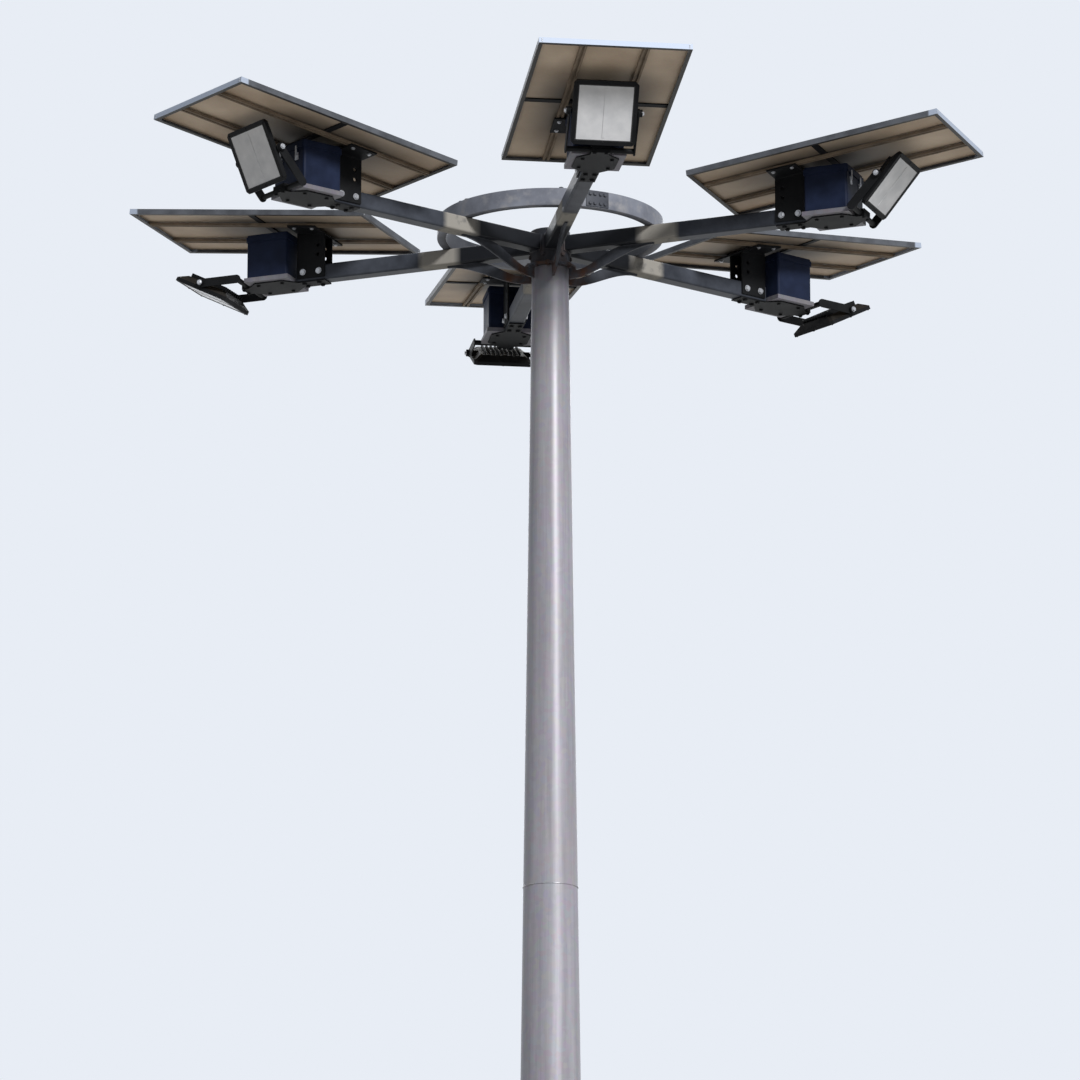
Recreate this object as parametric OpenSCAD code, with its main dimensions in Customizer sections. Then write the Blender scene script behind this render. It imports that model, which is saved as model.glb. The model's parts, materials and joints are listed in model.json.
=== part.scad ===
// Solar high mast floodlight: conical steel mast, slip-on hub with six arms under a ring, and on each
// arm a solar panel, a battery box and a floodlight that tilts in a yoke. Sizes are millimetres.
// Origin at the centre of the base plate's underside, +Z up, head 1 on -Y, heads counted anticlockwise.

/* [Mast] */
// Height of the arms' centre line above the base plate's underside
arm_z = 10000; // [6000:50:14000]
// Outside diameter of the mast tube at the base plate
mast_base_d = 430; // [300:5:560]
// Outside diameter of the mast tube at its top
mast_top_d = 164; // [140:1:200]
// Wall of the mast tube
mast_wall = 6; // [4:0.5:10]
// Length of one rolled section of the mast tube
section_l = 3500; // [2500:50:4500]

/* [Base] */
// Diameter of the round base plate
base_d = 680; // [560:5:800]
// Thickness of the base plate
base_t = 25; // [16:1:40]
// Number of anchor bolt holes
anchor_count = 8; // [6:1:12]
// Diameter of the anchor bolt circle
anchor_pcd = 580; // [500:5:700]
// Diameter of an anchor bolt hole
anchor_d = 33; // [22:1:40]
// Height of the base gussets above the plate
gusset_h = 190; // [100:5:300]
// Thickness of the base gussets
gusset_t = 12; // [8:1:20]

/* [Hub and ring] */
// Outside diameter of the hub sleeve
sleeve_d = 182; // [176:1:220]
// Wall of the hub sleeve
sleeve_wall = 6; // [4:0.5:8]
// How far the sleeve reaches below the arms' centre line
sleeve_drop = 112; // [70:1:160]
// How far the mast tube reaches above the arms' centre line
sleeve_rise = 60; // [45:1:90]
// Diameter of the brim at the sleeve's foot
brim_d = 240; // [210:1:280]
// Thickness of the brim
brim_t = 10; // [6:1:16]
// Outside diameter of the ring
ring_d = 1040; // [900:5:1200]
// Height of the ring's hollow section
ring_h = 80; // [60:1:100]
// Width of the ring's hollow section
ring_w = 40; // [30:1:60]
// Wall of the ring and arm sections
tube_wall = 5; // [3:0.5:8]
// Thickness of the knee braces
brace_t = 10; // [6:1:16]

/* [Arms] */
// Side of the arms' square section
arm_w = 75; // [60:1:90]
// Radius at which an arm's end plate stands
arm_end = 1264; // [1150:1:1350]
// Thickness of the arms' end plates and of the tray brackets
plate_t = 6; // [5:0.5:10]
// Width of a tray bracket under its battery box
bracket_w = 190; // [120:5:230]
// Width of the split clamp that holds a yoke bar
clamp_w = 80; // [60:1:110]

/* [Solar panel] */
// Length of a panel along its arm
panel_l = 1200; // [1000:5:1400]
// Width of a panel across its arm
panel_w = 670; // [540:5:800]
// Depth of a panel's frame
panel_h = 25; // [24:1:40]
// Radius of a panel's centre
panel_r = 1390; // [1300:1:1500]
// Height of a panel's underside above the arms' centre line, at its centre
panel_z = 220; // [210:1:300]
// Upward slope of a panel towards its outer end, in degrees
panel_slope = 7; // [0:0.5:12]
// Width of the frame's lower lip
lip_w = 18; // [15:1:35]
// Width of the rails and the cross bar under a panel
rail_w = 30; // [20:1:45]
// Width of the slot along a rail
slot_w = 10; // [6:1:14]
// Distance between the two long rails
rail_gap = 274; // [200:1:360]

/* [Battery box] */
// Length of a box along its arm
box_l = 214; // [180:1:230]
// Width of a box across its arm
box_w = 236; // [200:1:260]
// Height of a box
box_h = 226; // [180:1:228]
// Overhang of the lid and foot rims
rim_o = 5; // [2:0.5:8]
// Sheet thickness of the tray under a box
tray_t = 3; // [2:0.5:4]
// Height of the tray's sides
tray_h = 20; // [10:1:40]

/* [Floodlight] */
// Width and height of a floodlight's front
lamp_w = 285; // [240:1:320]
// Thickness of a floodlight without its fins
lamp_h = 45; // [36:1:60]
// Side of the front glass
glass_w = 245; // [200:1:270]
// Height of the cooling fins
fin_h = 20; // [10:1:30]
// Length of the yoke legs, from the yoke bar to the pivot
leg_l = 182; // [178:1:200]
// Diameter of the yoke bar
bar_d = 25; // [20:1:30]
// Diameter of the pivot pins
pin_d = 14; // [10:1:18]
// Radial clearance of the pivot pins
pin_gap = 0.3; // [0.1:0.05:0.5]
// Set angle of the raised yokes above the horizon, in degrees
yoke_raised = 48; // [40:1:48]
// Set angle of the lowered yokes above the horizon, in degrees
yoke_lowered = 0; // [-20:1:5]
// Downward aim of floodlight 1, in degrees
dip_1 = 30; // [15:1:55]
// Downward aim of floodlight 2, in degrees
dip_2 = 40; // [15:1:55]
// Downward aim of floodlights 3, 4 and 5, in degrees
dip_low = 63; // [15:1:70]
// Downward aim of floodlight 6, in degrees
dip_6 = 25; // [15:1:55]

/* [Hidden] */
$fn = 48;
heads = 6;
weld = 0.3;
step = 360 / heads;
mast_h = arm_z + sleeve_rise;
arm_in = sleeve_d / 2 + weld;
panel_ca = cos(panel_slope);
panel_ta = tan(panel_slope);
frame_wall = 4;
lip_t = 3;
face_drop = 2;
face_lip = 11;
glass_t = 5;
lam_z = panel_h - face_drop - glass_t;
rail_h = lam_z - 6;
rail_web = 4;
saddle_t = 8;
saddle_r0 = arm_end - 150;
saddle_r1 = arm_end - 10;
saddle_o = 10;
cheek_t = 8;
cheek_lap = 12;
slot_d = 18;
slot_z = [arm_w / 2 + 47, arm_w / 2 + 92];
gusset_nose = 20;
gusset_set = 8;
brace_set = 4;
brace_foot = 55;
brace_neck = 17;
brace_land = 150;
brace_tip = 8;
arm_round = 10;
box_round = 12;
foot_h = 8;
lid_h = 24;
lid_drop = 10;
tray_gap = 1;
box_r0 = arm_end + tray_gap + tray_t + 4;
box_r1 = box_r0 + box_l;
clamp_wall = 10;
clamp_floor = 6;
clamp_cap = 5;
clamp_slit = 2;
block_r0 = box_r1 + tray_gap + tray_t + 3;
bar_r = block_r0 + clamp_wall + bar_d / 2;
bar_z = clamp_floor + bar_d / 2 - plate_t - arm_w / 2;
leg_w = 40;
leg_t = 6;
leg_gap = 6;
leg_in = lamp_w / 2 + leg_gap;
leg_out = leg_in + leg_t;
bezel_t = 18;
lamp_cut = 14;
pivot_n = 14;
back_w = lamp_w - 70;
fin_t = 3;
fin_step = 21;
boss_d = 30;
boss_l = 40;
knob_d = 34;
knob_t = 12;
knob_gap = 1;
seat_d = 5;
pane_t = 4;
yoke_set = [yoke_raised, yoke_raised, yoke_lowered, yoke_lowered, yoke_lowered, yoke_raised];
lamp_dip = [dip_1, dip_2, dip_low, dip_low, dip_low, dip_6];

// Mast radius at a height above the ground
function mast_r(z) = (mast_base_d + (mast_top_d - mast_base_d) * (z - base_t) / (mast_h - base_t)) / 2;

// Height of a panel's underside plane at a radius, less a drop square to the plane
function under_z(r, drop) = panel_z + (r - panel_r) * panel_ta - drop / panel_ca;

// Points of a curve that leaves one point level and reaches another level
function ease(a, b, n) = [for (i = [0 : n]) let (t = i / n)
    [a[0] + (b[0] - a[0]) * t, a[1] + (b[1] - a[1]) * t * t * (3 - 2 * t)]];

// Places children in the frame of head k: x outward along the arm, z from the arms' centre line
module at_head(k) {
    translate([0, 0, arm_z])
        rotate([0, 0, step * (k - 1) - 90])
            children();
}

// Places children in a panel's own plane, z square to its underside
module at_panel(k) {
    at_head(k)
        translate([panel_r, 0, panel_z])
            rotate([0, -panel_slope, 0])
                children();
}

// Places children in the yoke's frame: x along the legs, origin on the yoke bar
module at_yoke(k) {
    at_head(k)
        translate([bar_r, 0, bar_z])
            rotate([0, -yoke_set[k - 1], 0])
                children();
}

// Places children in a floodlight's frame: x out of its glass, z up its front, origin on the pivot
module at_lamp(k) {
    at_yoke(k)
        translate([leg_l, 0, 0])
            rotate([0, yoke_set[k - 1] + lamp_dip[k - 1], 0])
                children();
}

// Block centred on x and y, standing on z0
module block(l, w, z0, z1) {
    translate([-l / 2, -w / 2, z0])
        cube([l, w, z1 - z0]);
}

// Rounded rectangle
module rounded(l, w, r) {
    square([l - 2 * r, w], center = true);
    square([l, w - 2 * r], center = true);
    for (x = [-1, 1])
        for (y = [-1, 1])
            translate([x * (l / 2 - r), y * (w / 2 - r)])
                circle(r);
}

// Square with cut corners
module cut_square(w, c) {
    h = w / 2;
    polygon([
        [c - h, -h], [h - c, -h], [h, c - h], [h, h - c],
        [h - c, h], [c - h, h], [-h, h - c], [-h, c - h]
    ]);
}

// Cylinder along y between two y values
module rod(d, y0, y1) {
    translate([0, y0, 0])
        rotate([-90, 0, 0])
            cylinder(d = d, h = y1 - y0);
}

module base_plate() {
    color("dimgray")
        difference() {
            cylinder(d = base_d, h = base_t);
            for (i = [0 : anchor_count - 1])
                rotate([0, 0, i * 360 / anchor_count])
                    translate([anchor_pcd / 2, 0, -1])
                        cylinder(d = anchor_d, h = base_t + 2);
        }
}

module base_gussets() {
    z1 = base_t + gusset_h;
    out = base_d / 2 - gusset_set;
    color("dimgray")
        for (i = [0 : anchor_count - 1])
            rotate([0, 0, (i + 0.5) * 360 / anchor_count])
                rotate([90, 0, 0])
                    translate([0, 0, -gusset_t / 2])
                        linear_extrude(gusset_t)
                            polygon([
                                [mast_r(base_t) + weld, base_t],
                                [out, base_t],
                                [out, base_t + gusset_nose],
                                [mast_r(z1) + gusset_nose, z1],
                                [mast_r(z1) + weld, z1]
                            ]);
}

// One rolled conical section of the mast between two heights
module mast_section(z0, z1) {
    color("silver")
        rotate_extrude($fn = 96)
            polygon([
                [mast_r(z0) - mast_wall, z0],
                [mast_r(z0), z0],
                [mast_r(z1), z1],
                [mast_r(z1) - mast_wall, z1]
            ]);
}

module hub_sleeve() {
    r = sleeve_d / 2;
    top = mast_h + sleeve_wall;
    foot = arm_z - sleeve_drop;
    color("gray")
        rotate_extrude($fn = 96)
            polygon([
                [0, mast_h], [r - sleeve_wall, mast_h],
                [r - sleeve_wall, foot], [brim_d / 2, foot],
                [brim_d / 2, foot + brim_t], [r, foot + brim_t],
                [r, top], [0, top]
            ]);
}

module ring() {
    z0 = arm_z + arm_w / 2;
    r1 = ring_d / 2;
    r0 = r1 - ring_w;
    color("gray")
        rotate_extrude($fn = 128)
            difference() {
                translate([r0, z0])
                    square([ring_w, ring_h]);
                translate([r0 + tube_wall, z0 + tube_wall])
                    square([ring_w - 2 * tube_wall, ring_h - 2 * tube_wall]);
            }
}

module knee_braces() {
    foot = -sleeve_drop;
    seat = -arm_w / 2;
    r0 = sleeve_d / 2 + brace_set;
    rb = brim_d / 2 + brace_set;
    r1 = ring_d / 2 - ring_w / 4;
    color("gray")
        for (k = [1 : heads])
            at_head(k)
                rotate([90, 0, 0])
                    translate([0, 0, -brace_t / 2])
                        linear_extrude(brace_t)
                            polygon(concat(
                                [[r0, foot], [rb, foot]],
                                ease([rb, foot - brace_neck], [r1 - brace_land, seat], 10),
                                [[r1, seat]],
                                ease([r1, seat - brace_tip], [r0, foot - brace_foot], 14)
                            ));
}

module arm(k) {
    w = arm_w - 2 * tube_wall;
    color("gray")
        at_head(k)
            difference() {
                rotate([90, 0, 90])
                    linear_extrude(arm_end)
                        rounded(arm_w, arm_w, arm_round);
                translate([0, -w / 2, -w / 2])
                    cube([arm_end - plate_t, w, w]);
                translate([0, 0, -arm_w])
                    cylinder(r = arm_in, h = 2 * arm_w);
            }
}

// Bracket under each arm's end: a plate below arm and tray, with a split clamp for the yoke bar
module tray_brackets() {
    z0 = -arm_w / 2 - plate_t;
    a = arm_w / 2;
    b = bracket_w / 2;
    c = clamp_w / 2;
    color("black")
        for (k = [1 : heads])
            at_head(k)
                difference() {
                    union() {
                        translate([0, 0, z0])
                            linear_extrude(plate_t)
                                polygon([
                                    [saddle_r0, -a], [saddle_r1, -a], [box_r0 + a, -b], [box_r1 - a, -b],
                                    [block_r0 + clamp_wall, -c], [block_r0 + clamp_wall, c],
                                    [box_r1 - a, b], [box_r0 + a, b], [saddle_r1, a], [saddle_r0, a]
                                ]);
                        translate([bar_r, 0, 0])
                            block(bar_d + 2 * clamp_wall, clamp_w, z0, bar_z + bar_d / 2 + clamp_cap);
                    }
                    translate([bar_r, 0, bar_z])
                        rod(bar_d, -clamp_w, clamp_w);
                    translate([bar_r, -clamp_w, bar_z - clamp_slit / 2])
                        cube([bar_d + clamp_wall, 2 * clamp_w, clamp_slit]);
                }
}

// Shallow sheet tray under each battery box
module box_trays() {
    l = box_l + 2 * tray_gap;
    w = box_w + 2 * tray_gap;
    color("silver")
        for (k = [1 : heads])
            at_head(k)
                translate([(box_r0 + box_r1) / 2, 0, -arm_w / 2])
                    difference() {
                        block(l + 2 * tray_t, w + 2 * tray_t, 0, tray_h);
                        block(l, w, tray_t, tray_h + 1);
                    }
}

module panel_brackets() {
    l = (saddle_r1 - saddle_r0) / panel_ca;
    u = ((saddle_r0 + saddle_r1) / 2 - panel_r) / panel_ca;
    color("black")
        for (k = [1 : heads]) {
            at_panel(k)
                translate([u, 0, 0])
                    block(l, rail_gap + rail_w + 2 * saddle_o, -saddle_t, 0);
            for (s = [-1, 1])
                at_head(k)
                    translate([0, s * (arm_w + cheek_t) / 2, 0])
                        cheek();
        }
}

// One cheek plate of a panel bracket, standing against the arm's side
module cheek() {
    z0 = cheek_lap - arm_w / 2;
    rotate([90, 0, 0])
        translate([0, 0, -cheek_t / 2])
            difference() {
                linear_extrude(cheek_t)
                    polygon([
                        [saddle_r0, z0], [saddle_r1, z0],
                        [saddle_r1, under_z(saddle_r1, saddle_t)],
                        [saddle_r0, under_z(saddle_r0, saddle_t)]
                    ]);
                for (z = slot_z)
                    translate([saddle_r0 + 2 * slot_d, z, -1])
                        cylinder(d = slot_d, h = cheek_t + 2);
            }
}

module panel_frame(k) {
    l = panel_l - 2 * frame_wall;
    w = panel_w - 2 * frame_wall;
    color("darkgray")
        at_panel(k)
            difference() {
                block(panel_l, panel_w, 0, panel_h);
                block(panel_l - 2 * lip_w, panel_w - 2 * lip_w, -1, lip_t + 1);
                block(l, w, lip_t, panel_h - face_drop);
                block(panel_l - 2 * face_lip, panel_w - 2 * face_lip, panel_h - face_drop - 1, panel_h + 1);
            }
}

module panel_laminates() {
    color("navy")
        for (k = [1 : heads])
            at_panel(k)
                block(panel_l - 2 * frame_wall, panel_w - 2 * frame_wall, lam_z, lam_z + glass_t);
}

// Two slotted rails under each panel, notched over the frame's lip at both ends
module panel_rails() {
    l = panel_l - 2 * (frame_wall + weld);
    color("tan")
        for (k = [1 : heads])
            at_panel(k)
                for (s = [-1, 1])
                    translate([0, s * rail_gap / 2, 0])
                        difference() {
                            union() {
                                block(l, rail_w, lip_t, rail_h);
                                block(panel_l - 2 * (lip_w + weld), rail_w, 0, lip_t + 1);
                            }
                            block(panel_l, slot_w, -1, rail_h - rail_web);
                        }
}

// One flat bar across each panel, between its rails and its laminate
module panel_cross_bars() {
    color("black")
        for (k = [1 : heads])
            at_panel(k)
                block(rail_w, panel_w - 2 * (frame_wall + weld), rail_h, lam_z);
}

module battery_box(k) {
    color([0.1, 0.11, 0.15])
        at_head(k)
            translate([(box_r0 + box_r1) / 2, 0, tray_t - arm_w / 2]) {
                linear_extrude(box_h)
                    rounded(box_l - 2 * rim_o, box_w - 2 * rim_o, box_round - 2);
                linear_extrude(foot_h)
                    rounded(box_l, box_w, box_round);
                translate([0, 0, box_h - lid_drop - lid_h])
                    linear_extrude(lid_h)
                        rounded(box_l, box_w, box_round);
            }
}

module lamp_yokes() {
    color("gray")
        for (k = [1 : heads])
            at_yoke(k) {
                rod(bar_d, -leg_out, leg_out);
                for (s = [-1, 1])
                    translate([0, s * (leg_in + leg_t / 2), 0])
                        yoke_leg();
            }
}

// One flat leg of a yoke, from the bar to past the pivot
module yoke_leg() {
    difference() {
        union() {
            rod(leg_w, -leg_t / 2, leg_t / 2);
            translate([leg_l, 0, 0])
                rod(leg_w, -leg_t / 2, leg_t / 2);
            translate([0, -leg_t / 2, -leg_w / 2])
                cube([leg_l, leg_t, leg_w]);
        }
        translate([leg_l, 0, 0])
            rod(pin_d + 2 * pin_gap, -leg_t, leg_t);
    }
}

module lamp(k) {
    front = lamp_h - pivot_n;
    color([0.09, 0.09, 0.1])
        at_lamp(k)
            difference() {
                union() {
                    translate([front - bezel_t, 0, 0])
                        rotate([0, 90, 0])
                            linear_extrude(bezel_t)
                                cut_square(lamp_w, lamp_cut);
                    translate([front - bezel_t, 0, 0])
                        rotate([0, -90, 0])
                            linear_extrude(lamp_h - bezel_t, scale = back_w / lamp_w)
                                cut_square(lamp_w, lamp_cut);
                    for (i = [-4 : 4])
                        translate([-pivot_n - fin_h, i * fin_step - fin_t / 2, lamp_cut / 2 - back_w / 2])
                            cube([fin_h + 2, fin_t, back_w - lamp_cut]);
                    for (y = [-lamp_w / 2, lamp_w / 2 - boss_l])
                        rod(boss_d, y, y + boss_l);
                    rod(pin_d, -leg_out - knob_t / 2, leg_out + knob_t / 2);
                    for (y = [-leg_out - knob_gap - knob_t, leg_out + knob_gap])
                        rod(knob_d, y, y + knob_t);
                }
                translate([front - seat_d, -glass_w / 2, -glass_w / 2])
                    cube([lamp_h, glass_w, glass_w]);
            }
}

module lamp_glass(k) {
    front = lamp_h - pivot_n;
    rib = pane_t / 2;
    color("white")
        at_lamp(k) {
            translate([front - seat_d, -glass_w / 2, -glass_w / 2])
                cube([pane_t, glass_w, glass_w]);
            translate([front - seat_d + pane_t - rib, -leg_t, lamp_cut - glass_w / 2])
                cube([rib + 2, 2 * leg_t, glass_w - 2 * lamp_cut]);
        }
}

base_plate();
base_gussets();
mast_section(base_t, section_l);  // mast_base_section
mast_section(section_l, 2 * section_l);  // mast_middle_section
mast_section(2 * section_l, mast_h);  // mast_top_section
hub_sleeve();
ring();
knee_braces();
arm(1);  // arm_1
arm(2);  // arm_2
arm(3);  // arm_3
arm(4);  // arm_4
arm(5);  // arm_5
arm(6);  // arm_6
panel_brackets();
panel_frame(1);  // panel_frame_1
panel_frame(2);  // panel_frame_2
panel_frame(3);  // panel_frame_3
panel_frame(4);  // panel_frame_4
panel_frame(5);  // panel_frame_5
panel_frame(6);  // panel_frame_6
panel_laminates();
panel_rails();
panel_cross_bars();
tray_brackets();
box_trays();
battery_box(1);  // battery_box_1
battery_box(2);  // battery_box_2
battery_box(3);  // battery_box_3
battery_box(4);  // battery_box_4
battery_box(5);  // battery_box_5
battery_box(6);  // battery_box_6
lamp_yokes();
lamp(1);  // lamp_1
lamp(2);  // lamp_2
lamp(3);  // lamp_3
lamp(4);  // lamp_4
lamp(5);  // lamp_5
lamp(6);  // lamp_6
lamp_glass(1);  // lamp_glass_1
lamp_glass(2);  // lamp_glass_2
lamp_glass(3);  // lamp_glass_3
lamp_glass(4);  // lamp_glass_4
lamp_glass(5);  // lamp_glass_5
lamp_glass(6);  // lamp_glass_6
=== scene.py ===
import json
import math

import bpy
from mathutils import Matrix, Vector, noise


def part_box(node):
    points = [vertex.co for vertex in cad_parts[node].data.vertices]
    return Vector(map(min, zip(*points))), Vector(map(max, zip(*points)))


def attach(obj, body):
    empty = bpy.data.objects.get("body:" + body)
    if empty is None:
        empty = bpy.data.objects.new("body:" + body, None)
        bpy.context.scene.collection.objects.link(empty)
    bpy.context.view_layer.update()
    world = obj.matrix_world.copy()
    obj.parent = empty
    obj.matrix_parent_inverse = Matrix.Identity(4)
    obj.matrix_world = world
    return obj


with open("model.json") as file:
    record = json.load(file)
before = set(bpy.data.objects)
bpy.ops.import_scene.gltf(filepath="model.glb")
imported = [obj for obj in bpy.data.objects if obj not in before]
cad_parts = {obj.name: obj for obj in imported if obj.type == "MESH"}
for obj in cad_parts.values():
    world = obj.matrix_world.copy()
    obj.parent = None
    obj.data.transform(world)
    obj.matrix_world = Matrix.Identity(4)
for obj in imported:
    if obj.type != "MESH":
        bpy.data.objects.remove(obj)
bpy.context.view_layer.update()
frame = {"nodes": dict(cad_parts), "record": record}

# Base plate and gussets
# A flame-cut round steel plate with eight anchor holes stands on the foundation, and ribs between the
# holes are fillet welded to plate and mast. All of it was hot dip galvanised and has weathered.
MM = 0.001


def linear(colour):
    """Linear RGBA of an sRGB hex colour such as "#a0b0c0"."""
    parts = [int(colour[i : i + 2], 16) / 255 for i in (1, 3, 5)]
    return [p / 12.92 if p <= 0.04045 else ((p + 0.055) / 1.055) ** 2.4 for p in parts] + [1.0]


def add(material, kind, settings=None, links=None):
    """Adds a node: settings are its properties or socket values, links go from its sockets to outputs."""
    made = material.node_tree.nodes.new(kind)
    for key, value in (settings or {}).items():
        if isinstance(key, str) and hasattr(made, key):
            setattr(made, key, value)
        else:
            made.inputs[key].default_value = value
    for key, source in (links or {}).items():
        material.node_tree.links.new(source, made.inputs[key])
    return made


def new_material(name):
    """An empty node material."""
    material = bpy.data.materials.new(name)
    material.use_nodes = True
    material.node_tree.nodes.clear()
    return material


def wear(material, *names):
    """Puts a material on CAD nodes."""
    for name in names:
        mesh = frame["nodes"][name].data
        mesh.materials.clear()
        mesh.materials.append(material)


def every(spacing):
    """Texture scale, in repeats per metre, of a pattern with this spacing in millimetres."""
    return 1000.0 / spacing


# Galvanised steel, hot dipped and dulled by years outdoors: pale violet-grey zinc with a faint spangle
# of 25 mm grains, rain streaks about 40 mm apart down its length and a satin, not mirror, sheen. From half
# a metre under the hub's brim upwards it is painted darker and rougher, as painted shade under the head.
galvanised = new_material("weathered_galvanised_steel")
at = add(galvanised, "ShaderNodeTexCoord")
tall = add(galvanised, "ShaderNodeMapping", {"Scale": (1.0, 1.0, 0.03)}, {"Vector": at.outputs["Object"]})
streaks = add(
    galvanised,
    "ShaderNodeTexNoise",
    {"Scale": every(40), "Detail": 6.0, "Roughness": 0.65},
    {"Vector": tall.outputs[0]},
)
spangle = add(galvanised, "ShaderNodeTexVoronoi", {"Scale": every(25)}, {"Vector": at.outputs["Object"]})
clouds = add(
    galvanised, "ShaderNodeTexNoise", {"Scale": every(600), "Detail": 3.0}, {"Vector": at.outputs["Object"]}
)
streak_tone = add(galvanised, "ShaderNodeValToRGB", {}, {"Fac": streaks.outputs["Fac"]})
streak_tone.color_ramp.elements[0].position = 0.28
streak_tone.color_ramp.elements[0].color = linear("#85828b")
streak_tone.color_ramp.elements[1].position = 0.68
streak_tone.color_ramp.elements[1].color = linear("#a4a1a9")
grain_tone = add(
    galvanised,
    "ShaderNodeMix",
    {"data_type": "RGBA", "blend_type": "SOFT_LIGHT", 0: 0.08},
    {6: streak_tone.outputs[0], 7: spangle.outputs["Color"]},
)
zinc_tone = add(
    galvanised,
    "ShaderNodeMix",
    {"data_type": "RGBA", 7: linear("#98928e")},
    {6: grain_tone.outputs[2]},
)
cloud_share = add(
    galvanised,
    "ShaderNodeMapRange",
    {"From Min": 0.45, "From Max": 0.75, "To Min": 0.0, "To Max": 0.35},
    {"Value": clouds.outputs["Fac"]},
)
galvanised.node_tree.links.new(cloud_share.outputs[0], zinc_tone.inputs[0])
# Painted shade: from half a metre under the brim upwards the zinc is mixed towards dark grey and made
# rougher.
BRIM_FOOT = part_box("hub_sleeve")[0][2]
SHADE_START, SHADE_END = BRIM_FOOT - 0.55, BRIM_FOOT - 0.05
height = add(galvanised, "ShaderNodeSeparateXYZ", {}, {0: at.outputs["Object"]})
painted_shade = add(
    galvanised,
    "ShaderNodeMapRange",
    {"From Min": SHADE_START, "From Max": SHADE_END, "To Max": 0.55},
    {"Value": height.outputs["Z"]},
)
shaded_tone = add(
    galvanised,
    "ShaderNodeMix",
    {"data_type": "RGBA", 7: linear("#33353d")},
    {0: painted_shade.outputs[0], 6: zinc_tone.outputs[2]},
)
dullness = add(
    galvanised,
    "ShaderNodeMapRange",
    {"From Min": 0.3, "From Max": 0.7, "To Min": 0.3, "To Max": 0.4},
    {"Value": streaks.outputs["Fac"]},
)
shaded_dullness = add(
    galvanised,
    "ShaderNodeMath",
    {"operation": "MULTIPLY_ADD", 1: 0.4},
    {0: painted_shade.outputs[0], 2: dullness.outputs[0]},
)
relief = add(
    galvanised,
    "ShaderNodeBump",
    {"Strength": 0.12, "Distance": 0.4 * MM},
    {"Height": streaks.outputs["Fac"]},
)
skin = add(
    galvanised,
    "ShaderNodeBsdfPrincipled",
    {"Metallic": 0.1, "Specular IOR Level": 0.5},
    {
        "Base Color": shaded_tone.outputs[2],
        "Roughness": shaded_dullness.outputs[0],
        "Normal": relief.outputs[0],
    },
)
add(galvanised, "ShaderNodeOutputMaterial", {}, {"Surface": skin.outputs[0]})
wear(galvanised, "base_plate", "base_gussets")


def piece(name, parts, material, body):
    """One visual piece from (points, faces) parts, riding on a body and finished in one material."""
    points, faces = [], []
    for part_points, part_faces in parts:
        faces += [[i + len(points) for i in face] for face in part_faces]
        points += part_points
    mesh = bpy.data.meshes.new(name)
    mesh.from_pydata([tuple(p) for p in points], [], faces)
    mesh.validate()
    mesh.update()
    mesh.shade_smooth()
    mesh.set_sharp_from_angle(angle=math.radians(35))
    mesh.materials.append(material)
    made = bpy.data.objects.new(name, mesh)
    bpy.context.scene.collection.objects.link(made)
    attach(made, body)
    return made


def bead(path, thick, closed=False, sides=7):
    """A weld bead along a path of points, swelling and narrowing as the welder's passes do."""
    count = len(path)
    points = []
    for i, centre in enumerate(path):
        ahead = path[(i + 1) % count] if closed or i + 1 < count else centre
        behind = path[i - 1] if closed or i > 0 else centre
        along = (ahead - behind).normalized()
        across = along.orthogonal().normalized()
        up = along.cross(across)
        swell = thick * (1 + 0.3 * noise.noise(centre * 90))
        for j in range(sides):
            a = 2 * math.pi * j / sides
            points.append(centre + (across * math.cos(a) + up * math.sin(a)) * swell)
    faces = []
    for i in range(count if closed else count - 1):
        for j in range(sides):
            a, b = i * sides, (i + 1) % count * sides
            faces.append([a + j, b + j, b + (j + 1) % sides, a + (j + 1) % sides])
    return points, faces


def line(start, end, step):
    """Points along a straight line about a step apart."""
    start, end = Vector(start), Vector(end)
    count = max(2, round((end - start).length / step) + 1)
    return [start.lerp(end, i / (count - 1)) for i in range(count)]


def hoop(radius, height, count=160):
    """Points round the mast's axis at a height."""
    turns = [2 * math.pi * i / count for i in range(count)]
    return [Vector((radius * math.cos(a), radius * math.sin(a), height)) for a in turns]


GUSSETS, GUSSET_HALF = 8, 6 * MM
MAST_LEAN = 5 * MM
PLATE_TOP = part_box("base_plate")[1][2]
GUSSET_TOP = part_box("base_gussets")[1][2]
MAST_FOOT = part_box("mast_base_section")[1][0]
GUSSET_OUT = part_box("base_plate")[1][0] - 8 * MM
gusset_welds = []
for i in range(GUSSETS):
    turn = Matrix.Rotation((i + 0.5) * 2 * math.pi / GUSSETS, 4, "Z")
    for side in (-GUSSET_HALF, GUSSET_HALF):
        flat = line((MAST_FOOT, side, PLATE_TOP), (GUSSET_OUT, side, PLATE_TOP), 8 * MM)
        stand = line((MAST_FOOT, side, PLATE_TOP), (MAST_FOOT - MAST_LEAN, side, GUSSET_TOP), 8 * MM)
        gusset_welds += [bead([turn @ p for p in flat], 4 * MM), bead([turn @ p for p in stand], 4 * MM)]
gusset_welds.append(bead(hoop(MAST_FOOT, PLATE_TOP), 6 * MM, closed=True))
piece("gusset_welds", gusset_welds, galvanised, "tower")

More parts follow.
